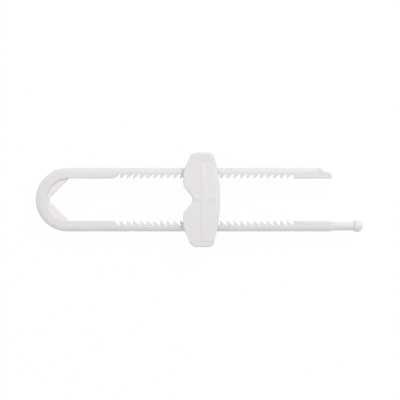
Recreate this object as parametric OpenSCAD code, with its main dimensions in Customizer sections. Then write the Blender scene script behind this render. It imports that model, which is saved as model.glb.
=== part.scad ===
// Cabinet safety lock: a toothed U-shaped shackle and the slider that runs along its two legs.
// The lock lies on the slider's back. +X runs from the bend to the knob, +Y to the upper leg and +Z up.
// Below, "along" is X, "across" is Y and "through" is Z.

/* [Shackle bar] */
// Distance between the centre lines of the two legs
leg_pitch = 34; // [32.5:0.5:36]
// Width of the bar, across the leg
bar_w = 6.8; // [6.5:0.1:7.2]
// Thickness of the bar, through the lock
bar_t = 6.6; // [6:0.1:6.9]
// Corner radius on the outside of the bar
bar_outer_r = 2.9; // [1:0.1:2.9]
// Corner radius on the inside of the bar
bar_inner_r = 0.5; // [0.2:0.1:1]
// Length of the long leg's bar, from the bend's centre
long_leg = 169.6; // [168:0.05:175]
// Length of the short leg, from the bend's centre
short_leg = 169.6; // [168:0.05:175]

/* [Shackle tip] */
// Length of the slanted outer corner on the short leg
tip_len = 6.8; // [5:0.1:9]
// Depth of the slanted outer corner
tip_drop = 2.9; // [1.5:0.1:3.5]
// Length of the steep first part of that slant
tip_lead = 1.9; // [1:0.1:3]
// Radius-like cut at the very end of the short leg
tip_nose = 1.7; // [1:0.1:2]
// Bevel on the front, back and inner edges of both leg ends
tip_bevel = 0.6; // [0.3:0.1:1]

/* [Knob] */
// Diameter of the round rod beyond the long leg
rod_d = 5.6; // [5:0.1:6]
// Length of the rod
rod_len = 14.2; // [12:0.1:16]
// Diameter of the knob that keeps the slider on the rod
knob_d = 7.6; // [7.4:0.1:7.9]
// Length of the knob
knob_len = 5.8; // [5:0.1:7]
// Radius of the knob's outer edge
knob_r = 3.5; // [1:0.1:3.6]
// Bevel on the knob's inner edge
knob_bevel = 0.9; // [0.3:0.1:1.2]

/* [Rack] */
// Distance from one tooth to the next
tooth_pitch = 4.29; // [4.1:0.01:4.5]
// Number of notches in each leg
tooth_count = 27; // [20:1:28]
// Depth of a notch
tooth_depth = 2.8; // [2.4:0.1:3]
// Length of a notch's gentle slope
tooth_run = 3.4; // [3.2:0.1:3.7]
// Width of a tooth's tip
tooth_tip = 0.45; // [0.2:0.05:0.5]
// How far a tooth's tip leans over the notch beside it
tooth_lean = 0.3; // [0:0.05:0.4]
// Distance from the bend's centre to the first steep face
rack_start = 33.9; // [30:0.05:36]
// Notch that the leading pawl tooth sits in, counted from 0
rest_notch = 13; // [10:1:16]

/* [Bend web] */
// Thickness of the web inside the bend
web_t = 3; // [2:0.1:4]
// Half width of the V-shaped cradle at its mouth
cradle_mouth = 13; // [12:0.1:13.2]
// How far the mouth lies from the bend's centre, towards the legs
cradle_lip = 0.45; // [0:0.05:1]
// Depth of the cradle's sloping sides
cradle_depth = 9; // [8:0.1:9.5]
// Half width where the sides meet the blunt bottom
cradle_waist = 4.1; // [3.5:0.1:4.6]
// Depth of the blunt bottom beyond the sides
cradle_bottom = 2.9; // [2:0.1:3.5]
// Half width of the blunt bottom
cradle_floor = 1.5; // [1:0.1:2]
// Bevel along the cradle's edge
cradle_bevel = 0.6; // [0.3:0.1:1]

/* [Slider outline] */
// Length of the slider across the legs, over both buttons
slider_span = 60.7; // [60:0.1:62]
// Thickness of the slider, over the raised ridges
slider_t = 16; // [15.8:0.1:17]
// Reach of the two lobes on the bend's side
lobe_x = 10.3; // [10:0.1:11]
// Reach of the long bow on the other side
bow_x = 13.45; // [13.2:0.05:14]
// Radius of the long bow
bow_r = 96.6; // [90:0.1:110]
// Half length of the long bow
bow_y = 27; // [26:0.1:28]
// Where the sloping shoulder meets the slider's end
shoulder_x = 4.92; // [4.5:0.01:5.5]
// Where the sloping shoulder meets the lobe
shoulder_y = 17.97; // [17:0.01:19]
// Half width of the V notch at its mouth
notch_y = 9; // [8.5:0.1:9.5]
// Distance from the slider's axis to the notch's bottom
notch_x = 4.6; // [4.4:0.1:5.4]
// Half width of the notch's bottom
notch_floor = 1.62; // [1.4:0.01:2]
// Radius of the slider's outer corners on the knob's side
end_r = 3.4; // [2.4:0.1:3.6]
// Radius of the slider's outer corners on the bend's side
end_left_r = 5; // [3:0.1:5.5]
// Radius where shoulder and lobe meet
shoulder_r = 16; // [12:0.5:18]
// Radius where lobe and notch meet
lobe_r = 6; // [4:0.5:7]
// Radius in the notch's bottom
notch_r = 1.2; // [0.8:0.1:1.4]

/* [Covers] */
// Thickness of the front and back plates, without the ridges
plate_t = 1.65; // [1.4:0.05:1.8]
// Thickness of the side walls
wall_t = 1.8; // [1.5:0.1:2]
// Width of the rounded edge, seen from the front
edge_w = 2.8; // [1.2:0.1:3]
// Depth of the rounded edge, seen from the side
edge_h = 1.8; // [1:0.1:2]
// Height of the raised ridges on the front
ridge_h = 0.35; // [0.2:0.05:0.6]
// Half width of the long ridge on the bend's side
spine_w = 1.2; // [1:0.1:2.4]
// Half width of the long ridge on the knob's side
spine_right_w = 1.9; // [1.2:0.1:2.4]
// How much wider that side is at the waist
flare_w = 5.5; // [2:0.1:6]
// Half length of that wider stretch
flare_len = 7.7; // [4:0.1:9]
// Place of the long ridge along the lock
spine_x = 1.7; // [1.4:0.1:3.2]
// Half length of the long ridge
spine_len = 23.5; // [20:0.1:25]
// Half width of the short ridge at the waist
waist_w = 1.5; // [0.9:0.1:1.8]
// Length of the plates' end that lies over each button
lip_len = 3.45; // [3.4:0.05:3.8]
// Thickness of the front plate's end
lip_t = 0.45; // [0.4:0.05:0.8]
// How far the plates fall away towards their ends
end_fall = 0.6; // [0.2:0.1:0.8]
// Length of that fall
fall_len = 7; // [5:0.1:9]
// Radius of the bosses that hold the pins
boss_r = 2; // [1.8:0.1:2]
// Radius of the pins that join the covers
pin_r = 1; // [0.8:0.1:1.1]
// Length of the pins
pin_len = 4; // [3:0.1:4.5]
// Room between the stirrup and the free bosses
pin_room = 1.3; // [1:0.1:1.4]
// Thickness of the rib between the two springs
rib_t = 1.6; // [1.4:0.1:1.8]
// How far the springs' round seats stand out of the rib
seat_out = 1; // [0.6:0.1:1]
// Length and width of the lugs that stop the stirrups
lug_w = 1; // [0.8:0.1:1.1]
// Height of those lugs
lug_h = 1.6; // [1:0.1:1.8]

/* [Release buttons] */
// How far a button travels
press = 3.1; // [2.9:0.05:3.15]
// How far a button stands out of the plates
button_out = 3.6; // [3.6:0.05:3.9]
// Radius of the button's front and back edges
button_edge = 1.5; // [0.6:0.1:1.8]
// Length of the stirrup along the lock
stirrup_len = 9.8; // [9.4:0.1:10]
// Place of the stirrup's middle along the lock
stirrup_x = 3.3; // [3.2:0.05:3.4]
// Thickness of the stirrup's two arms
arm_t = 1.6; // [1.4:0.05:1.65]
// Thickness of the stirrup's block across the lock
block_w = 7.6; // [7.2:0.1:7.8]

/* [Pawls] */
// Distance from the slider's axis to the leading pawl notch
pawl_lead = 5.07; // [5:0.01:5.2]
// Height of the pawl's teeth above its back
pawl_tooth = 3.1; // [3:0.05:3.15]
// Thickness of the pawl's springy tongue
tongue_t = 1.4; // [1.2:0.1:1.6]
// Room behind the tongue
tongue_gap = 1.2; // [1:0.1:1.3]
// Width of the pawl, through the lock
pawl_t = 6; // [5.6:0.1:6.2]
// Length of the pawl's root along the lock
root_len = 2.6; // [2.4:0.1:2.8]
// Depth of the tenon under the root
tenon = 1.2; // [0.8:0.1:1.3]

/* [Springs] */
// Outer diameter of the springs
spring_d = 5.5; // [5.2:0.1:5.6]
// Diameter of the spring wire
wire_d = 0.5; // [0.4:0.05:0.6]
// Turns of each spring
spring_turns = 5; // [4:1:6]
// Depth of the spring's pocket in the stirrup's block
pocket = 3; // [2.8:0.1:3.1]

/* [Fits] */
// Room between the stirrup and the covers
slide_gap = 0.3; // [0.2:0.05:0.35]
// Room between the legs and the windows on the bend's side
leg_gap = 0.2; // [0.15:0.05:0.3]
// Room between the knob and the way through the slider
knob_gap = 0.2; // [0.15:0.05:0.25]
// Room between the block of the stirrup and the legs
block_gap = 0.65; // [0.6:0.05:0.8]
// Room between pawl and rack
mesh_gap = 0.15; // [0.1:0.05:0.25]
// Room between a spring and its seat or pocket
seat_gap = 0.3; // [0.2:0.05:0.4]
// Room between pieces that are pressed together
press_gap = 0.05; // [0.03:0.01:0.08]

/* [Hidden] */
$fn = 48;
// Overrun of every cut
over = 1;
// Overlap of pieces that are one solid
bite = 0.4;
// Smallest radius that a corner keeps when its sides move inwards
least_r = 0.5;

// Places along the lock: the part's middle is at X = 0
leg_y = leg_pitch / 2;
bend_r = leg_y + bar_w / 2;
inner_y = leg_y - bar_w / 2;
total_len = bend_r + long_leg + rod_len + knob_len;
bend_x = bend_r - total_len / 2;
mid_z = slider_t / 2;
rack_x = bend_x + rack_start;
slider_x = rack_x + rest_notch * tooth_pitch - pawl_lead;
long_end = bend_x + long_leg;
short_end = bend_x + short_leg;

// Slider outline and inner heights
half_span = slider_span / 2;
bow_deg = asin(bow_y / bow_r);
bow_corner = bow_x + bow_r * (1 / cos(bow_deg) - 1);
end_right = bow_corner - half_span * tan(bow_deg);
face_z = slider_t - ridge_h;
room_hi = face_z - plate_t;
room_lo = slider_t - room_hi;
room = room_hi - mid_z;
lip_y = half_span - button_out;
wall_y = lip_y - lip_len;
head_y = wall_y + press + slide_gap / 2;
lip_room = face_z - mid_z - end_fall - lip_t;

// Stirrup, pawl and spring across the lock
block_out = inner_y - block_gap;
block_in = block_out - block_w;
arm_lo = room_lo + slide_gap;
arm_hi = room_hi - slide_gap;
head_lo = mid_z - lip_room + slide_gap / 2;
head_hi = mid_z + lip_room - slide_gap / 2;
neck_y = leg_y + bar_w / 2 + press + slide_gap;
pawl_back = block_out - tongue_t - tongue_gap;
tenon_x = stirrup_x + stirrup_len / 2 - 3 * root_len / 4;
tip_y = block_out + pawl_tooth;
spring_lo = rib_t / 2 + press_gap;
spring_hi = block_in + pocket - press_gap;
stirrup_lo = stirrup_x - stirrup_len / 2;
stirrup_hi = stirrup_x + stirrup_len / 2;

// A vertex of the outline: place, corner radius and steps of the corner's arc.
// The lower half mirrors the upper one.
bow_steps = 14;
end_steps = 8;
side_steps = 5;
upper_half = [
    [[end_right, half_span], end_r, end_steps],
    [[-shoulder_x, half_span], end_left_r, end_steps],
    [[-lobe_x, shoulder_y], shoulder_r, side_steps],
    [[-lobe_x, notch_y], lobe_r, side_steps],
    [[-notch_x, notch_floor], notch_r, side_steps]
];
lower_half = [for (i = [len(upper_half) - 1:-1:0])
    [[upper_half[i][0].x, -upper_half[i][0].y], upper_half[i][1], upper_half[i][2]]];
outline_corners = concat([[[bow_corner, 0], bow_r, bow_steps]], upper_half, lower_half);

function unit(v) = v / norm(v);
function left_of(v) = [-v.y, v.x];
function wrap(a) = a > 180 ? a - 360 : (a < -180 ? a + 360 : a);
function ease(t) = let (s = max(0, min(1, t))) s * s * (3 - 2 * s);

// Points of one rounded corner at b, between its neighbours a and c
function corner(a, b, c, r, steps) =
    let (u = unit(a - b), v = unit(c - b), half = acos(u * v) / 2)
    let (centre = b + unit(u + v) * r / sin(half))
    let (p = b + u * r / tan(half) - centre, q = b + v * r / tan(half) - centre)
    let (from = atan2(p.y, p.x), turn = wrap(atan2(q.y, q.x) - from))
    [for (i = [0:steps]) centre + r * [cos(from + turn * i / steps), sin(from + turn * i / steps)]];

// The corner list with every side moved inwards: outer radii shrink and inner ones grow
function inset_corners(list, d) = let (n = len(list))
    [for (i = [0:n - 1])
        let (a = list[(i + n - 1) % n][0], b = list[i][0], c = list[(i + 1) % n][0])
        let (m = left_of(unit(b - a)), k = left_of(unit(c - b)))
        let (bends_out = (b - a).x * (c - b).y - (b - a).y * (c - b).x > 0)
        [b + d * (m + k) / (1 + m * k), max(list[i][1] + (bends_out ? -d : d), least_r), list[i][2]]];

function rounded(list) = let (n = len(list))
    [for (i = [0:n - 1])
        each corner(list[(i + n - 1) % n][0], list[i][0], list[(i + 1) % n][0], list[i][1], list[i][2])];

outline = rounded(outline_corners);
room_outline = rounded(inset_corners(outline_corners, wall_t));
room_outline_grown = rounded(inset_corners(outline_corners, wall_t - bite));

// The two long sides as tables of reach over place across the lock, for lookup()
right_side = [for (p = outline) if (p.x > 0) [p.y, p.x]];
left_side = [for (p = outline) if (p.x < 0) [p.y, p.x]];
function right_x(y) = lookup(y, right_side);
function left_x(y) = lookup(y, left_side);

// Joins rings of equal length into one closed solid, each ring listed the same way round
module loft(rings) {
    n = len(rings[0]);
    last = len(rings) - 1;
    sides = [for (k = [0:last - 1], i = [0:n - 1])
        let (j = (i + 1) % n)
        each [[k * n + i, (k + 1) * n + i, (k + 1) * n + j], [k * n + i, (k + 1) * n + j, k * n + j]]];
    caps = [[for (i = [0:n - 1]) i], [for (i = [n - 1:-1:0]) last * n + i]];
    polyhedron([for (ring = rings) each ring], concat(sides, caps), convexity = 6);
}

// Section of the bar, its outside at +X, widened all round by the given amount
module bar_section(grow = 0) {
    outer = bar_outer_r + grow;
    inner = bar_inner_r + grow;
    for (s = [-1, 1]) {
        translate([bar_w / 2 - bar_outer_r, s * (bar_t / 2 - bar_outer_r)])
            circle(outer);
        translate([bar_inner_r - bar_w / 2, s * (bar_t / 2 - bar_inner_r)])
            circle(inner);
    }
    translate([bar_inner_r - bar_w / 2, -bar_t / 2 - grow])
        square([bar_w - bar_inner_r - bar_outer_r, bar_t + 2 * grow]);
    translate([-bar_w / 2 - grow, bar_inner_r - bar_t / 2])
        square([bar_w / 2, bar_t - 2 * bar_inner_r]);
    translate([0, bar_outer_r - bar_t / 2])
        square([bar_w / 2 + grow, bar_t - 2 * bar_outer_r]);
}

// Straight leg on the +Y side, from the bend to the given end
module leg_bar(end) {
    translate([bend_x, leg_y, mid_z])
        rotate([90, 0, 90])
            linear_extrude(end - bend_x)
                bar_section();
}

// All the notches of one leg: steep faces towards the bend, gentle slopes towards the free end
module rack_cut() {
    root_y = inner_y + tooth_depth;
    slope = tooth_depth / tooth_run;
    translate([0, 0, mid_z - bar_t / 2 - over])
        linear_extrude(bar_t + 2 * over)
            for (k = [0:tooth_count - 1]) {
                x = rack_x + k * tooth_pitch;
                top = x - tooth_pitch - tooth_lean + tooth_tip;
                polygon([
                    [x, root_y],
                    [top + tooth_run, root_y],
                    [top - over / slope, inner_y - over],
                    [x - tooth_lean - over * tooth_lean / tooth_depth, inner_y - over]
                ]);
            }
}

// What the slanted lead-in takes off the short leg
module tip_cut() {
    outer = leg_y + bar_w / 2;
    translate([0, 0, mid_z - bar_t / 2 - over])
        linear_extrude(bar_t + 2 * over)
            polygon([
                [short_end - tip_len, outer],
                [short_end - tip_len + tip_lead, outer - tip_drop * 2 / 3],
                [short_end - tip_nose / 2, outer - tip_drop],
                [short_end, outer - tip_drop - tip_nose],
                [short_end + over, outer - tip_drop - tip_nose],
                [short_end + over, outer + over],
                [short_end - tip_len, outer + over]
            ]);
}

// Square bar on its edge, of the given length: it cuts one bevel
module bevel_cut(length) {
    linear_extrude(length)
        polygon([[-tip_bevel, 0], [0, -tip_bevel], [tip_bevel, 0], [0, tip_bevel]]);
}

// Bevels on the front, back and inner edges of a leg's end
module end_bevels(end) {
    for (z = [mid_z - bar_t / 2, mid_z + bar_t / 2])
        translate([end, inner_y - over, z])
            rotate([-90, 0, 0])
                bevel_cut(bar_w + 2 * over);
    translate([end, inner_y, mid_z - bar_t / 2 - over])
        bevel_cut(bar_t + 2 * over);
}

// Rod and knob on the axis of the long leg
module rod_and_knob() {
    translate([long_end - bite, -leg_y, mid_z])
        rotate([0, 90, 0])
            rotate_extrude() {
                square([rod_d / 2, bite + rod_len + knob_len / 2]);
                translate([0, bite + rod_len]) {
                    polygon([
                        [0, 0],
                        [knob_d / 2 - knob_bevel, 0],
                        [knob_d / 2, knob_bevel],
                        [knob_d / 2, knob_len - knob_r],
                        [0, knob_len - knob_r]
                    ]);
                    square([knob_d / 2 - knob_r, knob_len]);
                    intersection() {
                        translate([knob_d / 2 - knob_r, knob_len - knob_r])
                            circle(knob_r);
                        square([knob_d, knob_len]);
                    }
                }
            }
}

// The cradle's opening in the plane of the web, widened by the given amount
module cradle(grow) {
    polygon([
        [over + cradle_lip, -cradle_mouth - over - grow],
        [over + cradle_lip, cradle_mouth + over + grow],
        [cradle_lip, cradle_mouth + grow],
        [cradle_lip - cradle_depth - grow / 2, cradle_waist + grow / 2],
        [cradle_lip - cradle_depth - cradle_bottom - grow, cradle_floor + grow / 2],
        [cradle_lip - cradle_depth - cradle_bottom - grow, -cradle_floor - grow / 2],
        [cradle_lip - cradle_depth - grow / 2, -cradle_waist - grow / 2],
        [cradle_lip, -cradle_mouth - grow]
    ]);
}

// Thin web that fills the bend and leaves a V-shaped cradle
module bend_web() {
    translate([bend_x, 0, mid_z])
        difference() {
            translate([0, 0, -web_t / 2])
                linear_extrude(web_t)
                    intersection() {
                        circle(inner_y + bar_inner_r + bite);
                        translate([-bend_r, -bend_r])
                            square([bend_r + cradle_lip, 2 * bend_r]);
                    }
            translate([0, 0, -web_t / 2 - over])
                linear_extrude(web_t + 2 * over)
                    cradle(0);
            for (s = [-1, 1])
                translate([0, 0, s * (web_t / 2 + over / 2) - (over + cradle_bevel) / 2])
                    linear_extrude(over + cradle_bevel)
                        cradle(cradle_bevel);
        }
}

module shackle() {
    color("whitesmoke") {
        translate([bend_x, 0, mid_z])
            rotate_extrude(angle = 180, start = 90)
                translate([leg_y, 0])
                    bar_section();
        bend_web();
        difference() {
            leg_bar(short_end);
            rack_cut();
            tip_cut();
            end_bevels(short_end);
        }
        mirror([0, 1, 0])
            difference() {
                leg_bar(long_end);
                rack_cut();
                end_bevels(long_end);
            }
        rod_and_knob();
    }
}

// How far the front's ridges stand up at a place on the slider, as a share of their height
function spine_half(x, y) = x < spine_x ? spine_w : spine_right_w + flare_w * exp(-pow(y / flare_len, 2));
function spine_share(x, y) = exp(-pow((x - spine_x) / spine_half(x, y), 2))
    * ease(2.4 * (1 - abs(y) / spine_len));
function waist_share(x, y) = exp(-pow(y / waist_w, 2))
    * ease(2 * (x + notch_x) / edge_w - 1) * ease(2 * (bow_x - x) / edge_w - 1);
function ridge(x, y) = ridge_h * max(spine_share(x, y), waist_share(x, y));

// Places across the face as shares of the way from the long ridge to either rounded edge
face_shares = [-1, -0.72, -0.46, -0.28, -0.18, -0.09, 0, 0.13, 0.26, 0.4, 0.56, 0.77, 1];
cover_steps = 62;
edge_steps = 4;

// How far the face has fallen at a place across the lock, and how deep its rounded edge is there
function fall(y) = end_fall * pow(max(0, abs(y) - lip_y + fall_len) / fall_len, 2);
function edge_depth(y, top) =
    let (thin = ease((abs(y) - lip_y + fall_len) / (fall_len - lip_len)))
    edge_h * (1 - thin) + (top - lip_room - press_gap) * thin;

// One section of a cover's outside, from the parting plane over the face and back
function cover_section(y, face, ridged) =
    let (lo = left_x(y), hi = right_x(y), top = face - fall(y), depth = edge_depth(y, top))
    [
        [lo, y, 0],
        for (i = [0:edge_steps - 1]) let (a = 90 * i / edge_steps)
            [lo + edge_w * (1 - cos(a)), y, top - depth * (1 - sin(a))],
        for (s = face_shares)
            let (reach = s < 0 ? spine_x - lo - edge_w : hi - edge_w - spine_x, x = spine_x + s * reach)
            [x, y, top + (ridged ? ridge(x, y) : 0)],
        for (i = [edge_steps - 1:-1:0]) let (a = 90 * i / edge_steps)
            [hi - edge_w * (1 - cos(a)), y, top - depth * (1 - sin(a))],
        [hi, y, 0]
    ];

// Outside of a cover as a solid on the parting plane, its face upwards
module cover_skin(face, ridged) {
    loft([for (k = [0:cover_steps]) cover_section(lip_y * (2 * k / cover_steps - 1), face, ridged)]);
}

// Prism that stands on the slider's parting plane
module on_parting(height) {
    translate([0, 0, -over])
        linear_extrude(height + over)
            children();
}

// Windows for the two legs, with the knob's round way through the wall on its side
module leg_windows() {
    for (side = [0, 1])
        mirror([0, side, 0])
            translate([0, leg_y, 0]) {
                translate([-lobe_x - over, 0, 0])
                    rotate([90, 0, 90])
                        linear_extrude(lobe_x + bow_x + 2 * over)
                            bar_section(leg_gap);
                rotate([0, 90, 0])
                    cylinder(d = knob_d + 2 * knob_gap, h = bow_x + over);
            }
}

// Places of the four pins on the slider: two in free bosses and two in bosses that grow out of the wall
wall_boss_r = boss_r - bite;
pin_left = [stirrup_lo - pin_room - boss_r, block_out - boss_r - bite];
pin_right = [stirrup_hi + slide_gap + wall_boss_r, block_out - 2 * boss_r - bite];
pin_places = [for (p = [pin_left, pin_right], s = [-1, 1]) [p.x, s * p.y]];

// Rib between the two springs, and the pins' bosses
module rib_and_bosses() {
    intersection() {
        linear_extrude(room + bite)
            polygon(room_outline_grown);
        union() {
            translate([-lobe_x, -rib_t / 2, 0])
                cube([lobe_x + bow_x, rib_t, room + bite]);
            for (s = [-1, 1])
                translate([pin_right.x, s * pin_right.y - wall_boss_r, 0])
                    cube([bow_x - pin_right.x, 2 * wall_boss_r, room + bite]);
        }
    }
    for (s = [-1, 1]) {
        translate([pin_left.x, s * pin_left.y, 0])
            cylinder(r = boss_r, h = room + bite);
        translate([pin_right.x, s * pin_right.y, 0])
            cylinder(r = wall_boss_r, h = room + bite);
    }
}

// Half of the round seats on the rib that centre the two springs
module spring_seats() {
    seat_len = rib_t + 2 * seat_out;
    intersection() {
        translate([stirrup_x, 0, 0])
            rotate([90, 0, 0])
                cylinder(d = spring_d - 2 * wire_d - 2 * seat_gap, h = seat_len, center = true);
        translate([stirrup_lo, -seat_len, 0])
            cube([stirrup_len, 2 * seat_len, room]);
    }
}

// Four lugs under the plate that stop the stirrups' way out
module stop_lugs() {
    for (s = [-1, 1], x = [stirrup_lo, stirrup_hi - lug_w])
        translate([x, s > 0 ? block_out + press_gap : -block_out - press_gap - lug_w, room - lug_h])
            cube([lug_w, lug_w, lug_h + bite]);
}

// A cover's shell on the parting plane: hollow, open at both ends, with the legs' windows
module cover_shell(face, ridged) {
    difference() {
        cover_skin(face, ridged);
        on_parting(room)
            intersection() {
                polygon(room_outline);
                square([4 * bow_x, 2 * wall_y + over], center = true);
            }
        for (s = [-1, 1])
            translate([-2 * bow_x, s > 0 ? wall_y : -wall_y - 2 * lip_len, -over])
                cube([4 * bow_x, 2 * lip_len, lip_room + over]);
        leg_windows();
    }
    rib_and_bosses();
    spring_seats();
    stop_lugs();
}

module front_cover() {
    color("whitesmoke")
        translate([slider_x, 0, mid_z]) {
            cover_shell(face_z - mid_z, true);
            for (p = pin_places)
                translate([p.x, p.y, -pin_len])
                    cylinder(r = pin_r, h = pin_len + bite);
        }
}

module back_cover() {
    color("whitesmoke")
        translate([slider_x, 0, mid_z])
            mirror([0, 0, 1])
                difference() {
                    cover_shell(mid_z, false);
                    for (p = pin_places)
                        translate([p.x, p.y, -over])
                            cylinder(r = pin_r + press_gap, h = pin_len + press_gap + over);
                }
}

// The button's visible head: the slider's own end, rounded at front and back
module button_head() {
    inner = head_y - 2 * button_edge;
    corners = [
        [[right_x(inner), inner], button_edge, 1],
        [[end_right, half_span], end_r, end_steps],
        [[-shoulder_x, half_span], end_left_r, end_steps],
        [[left_x(inner), inner], button_edge, 1]
    ];
    turns = [for (i = [edge_steps:-1:0]) 90 * i / edge_steps];
    function ring(z, d) = [for (p = rounded(inset_corners(corners, d))) [p.x, p.y, z]];
    difference() {
        loft(concat(
            [for (a = turns) ring(head_lo + button_edge * (1 - sin(a)), button_edge * (1 - cos(a)))],
            [for (i = [edge_steps:-1:0]) let (a = turns[i])
                ring(head_hi - button_edge * (1 - sin(a)), button_edge * (1 - cos(a)))]));
        translate([-bow_x, head_y - bow_x, 0])
            cube([2 * bow_x, bow_x, slider_t]);
    }
}

// Block of the stirrup, between the legs: it holds the pawl outside and the spring inside
module stirrup_block() {
    trough = pawl_t + 2 * press_gap;
    difference() {
        translate([stirrup_lo, block_in, arm_lo])
            cube([stirrup_len, block_w, arm_hi - arm_lo]);
        translate([stirrup_lo - over, pawl_back, mid_z - trough / 2])
            cube([stirrup_len + 2 * over, block_w, trough]);
        translate([tenon_x - press_gap, pawl_back - tenon - press_gap, mid_z - tenon - press_gap])
            cube([root_len / 2 + 2 * press_gap, block_w, 2 * tenon + 2 * press_gap]);
        translate([stirrup_x, block_in + pocket, mid_z])
            rotate([90, 0, 0])
                cylinder(d = spring_d + 2 * seat_gap, h = pocket + over);
    }
}

// Head, two arms past the leg, and the block behind it
module button() {
    arm_x = stirrup_lo + lug_w + slide_gap;
    arm_len = stirrup_len - 2 * (lug_w + slide_gap);
    button_head();
    for (z = [arm_lo, arm_hi - arm_t])
        translate([arm_x, block_out - bite, z])
            cube([arm_len, head_y + bite + button_edge - block_out + bite, arm_t]);
    translate([arm_x, neck_y, arm_lo])
        cube([arm_len, head_y + bite + button_edge - neck_y, arm_hi - arm_lo]);
    stirrup_block();
}

// Springy tongue with two ratchet teeth, its root set into the stirrup's block
module pawl() {
    slope = tooth_depth / tooth_run;
    slack = 2 * mesh_gap;
    translate([0, 0, mid_z - pawl_t / 2])
        linear_extrude(pawl_t) {
            translate([stirrup_lo, block_out - tongue_t])
                square([stirrup_len, tongue_t]);
            translate([stirrup_hi - root_len, pawl_back])
                square([root_len, block_out - pawl_back]);
            intersection() {
                translate([stirrup_lo, pawl_back])
                    square([stirrup_len, tip_y - pawl_back]);
                for (k = [0, 1]) {
                    steep = pawl_lead - k * tooth_pitch - tooth_lean;
                    top = steep - tooth_pitch + tooth_tip;
                    polygon([
                        [steep - mesh_gap, block_out - tongue_t / 2],
                        [steep - mesh_gap, tip_y],
                        [top + (tip_y - inner_y + slack) / slope, tip_y],
                        [top + (block_out - inner_y + slack) / slope, block_out],
                        [top + (block_out - inner_y + slack) / slope, block_out - tongue_t / 2]
                    ]);
                }
            }
        }
    translate([tenon_x, pawl_back - tenon, mid_z - tenon])
        cube([root_len / 2, tenon + bite, 2 * tenon]);
}

// Centre line of a spring: even turns along +Y, from the rib to the bottom of its pocket
coil_steps = 8;
coil_sides = 6;
coil_r = (spring_d - wire_d) / 2;
coil_rise = spring_hi - spring_lo - wire_d;
function coil_point(t, r, h) = [stirrup_x + r * cos(360 * t), h, mid_z + r * sin(360 * t)];
function coil_ring(t) =
    let (h = spring_lo + wire_d / 2 + coil_rise * t / spring_turns)
    [for (i = [0:coil_sides - 1]) let (a = -360 * i / coil_sides)
        coil_point(t, coil_r + wire_d / 2 * cos(a), h + wire_d / 2 * sin(a))];
coil_gap = coil_rise / spring_turns - wire_d;
echo(least_gap_of_the_coils = coil_gap);

module spring() {
    loft([for (i = [0:spring_turns * coil_steps]) coil_ring(i / coil_steps)]);
}

module upper_button() {
    color("whitesmoke")
        translate([slider_x, 0, 0])
            button();
}

module lower_button() {
    color("whitesmoke")
        translate([slider_x, 0, 0])
            mirror([0, 1, 0])
                button();
}

module upper_pawl() {
    color("ivory")
        translate([slider_x, 0, 0])
            pawl();
}

module lower_pawl() {
    color("ivory")
        translate([slider_x, 0, 0])
            mirror([0, 1, 0])
                pawl();
}

module upper_spring() {
    color("silver")
        translate([slider_x, 0, 0])
            spring();
}

module lower_spring() {
    color("silver")
        translate([slider_x + 2 * stirrup_x, 0, 0])
            rotate([0, 0, 180])
                spring();
}

shackle();
front_cover();
back_cover();
upper_button();
lower_button();
upper_pawl();
lower_pawl();
upper_spring();
lower_spring();
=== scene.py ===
"""Cabinet safety lock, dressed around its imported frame.

The lock lies on its slider's back. X runs along the legs from the bend to the knob, Y across them
to the short leg, and Z up to the viewer. Shapes are drawn in millimetres and finished in metres.
"""

import logging
import math
from collections.abc import Callable, Sequence
from dataclasses import dataclass, field, replace
from enum import Enum

import bmesh
import bpy
from mathutils import Matrix, Vector


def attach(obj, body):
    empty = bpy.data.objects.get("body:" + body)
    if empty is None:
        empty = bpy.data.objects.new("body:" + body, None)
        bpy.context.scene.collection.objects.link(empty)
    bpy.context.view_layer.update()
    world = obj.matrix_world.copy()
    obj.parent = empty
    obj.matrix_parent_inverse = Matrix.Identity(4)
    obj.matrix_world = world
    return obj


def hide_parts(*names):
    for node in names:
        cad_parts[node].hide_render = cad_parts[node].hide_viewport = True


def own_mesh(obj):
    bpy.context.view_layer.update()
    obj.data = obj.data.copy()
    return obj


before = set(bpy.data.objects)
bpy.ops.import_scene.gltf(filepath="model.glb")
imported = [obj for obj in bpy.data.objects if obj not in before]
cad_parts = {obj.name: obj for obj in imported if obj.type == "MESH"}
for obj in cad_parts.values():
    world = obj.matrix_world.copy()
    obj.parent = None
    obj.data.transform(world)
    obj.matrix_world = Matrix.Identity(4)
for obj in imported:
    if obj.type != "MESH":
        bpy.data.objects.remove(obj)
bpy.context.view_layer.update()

LOG = logging.getLogger("cabinet_lock")
MM = 0.001
MID_Z = 8.0  # height of the plane in which the covers meet and the legs lie
LEG_Y = 17.0  # from the lock's axis to the middle of each leg
BAR_W, BAR_T = 6.8, 6.6  # width and thickness of the shackle's bar
SPRING_X = 3.3  # place of the springs' axis along the lock
OVER = 1.0  # how far a cutter runs past what it cuts
BITE = 0.4  # how far joined solids reach into each other
WELD = 0.002  # points of a mesh closer than this become one
WHITE = (1.0, 1.0, 1.0, 1.0)

Span = tuple[float, float]
Point = tuple[float, float, float]
Ring = list[Point]


class Join(Enum):
    """How one mesh is joined to another."""

    UNION = "UNION"
    DIFFERENCE = "DIFFERENCE"


class Side(Enum):
    """The slider's two covers; the value is the direction of the cover's face along Z."""

    FRONT = 1
    BACK = -1


class Hand(Enum):
    """The two ends of the slider; the value is the direction of the end along Y."""

    UPPER = 1
    LOWER = -1


# Drawing in millimetres


def eased(t: float) -> float:
    """Rises smoothly from 0 to 1 as t does."""
    s = max(0.0, min(1.0, t))
    return s * s * (3 - 2 * s)


def side_span(way: int, near: float, far: float) -> Span:
    """Gives a span of Y in rising order, on the upper side for way 1 and the lower one for -1."""
    return (near, far) if way > 0 else (-far, -near)


def mid_span(half: float) -> Span:
    """Gives the heights half under and half over the middle plane."""
    return MID_Z - half, MID_Z + half


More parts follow.
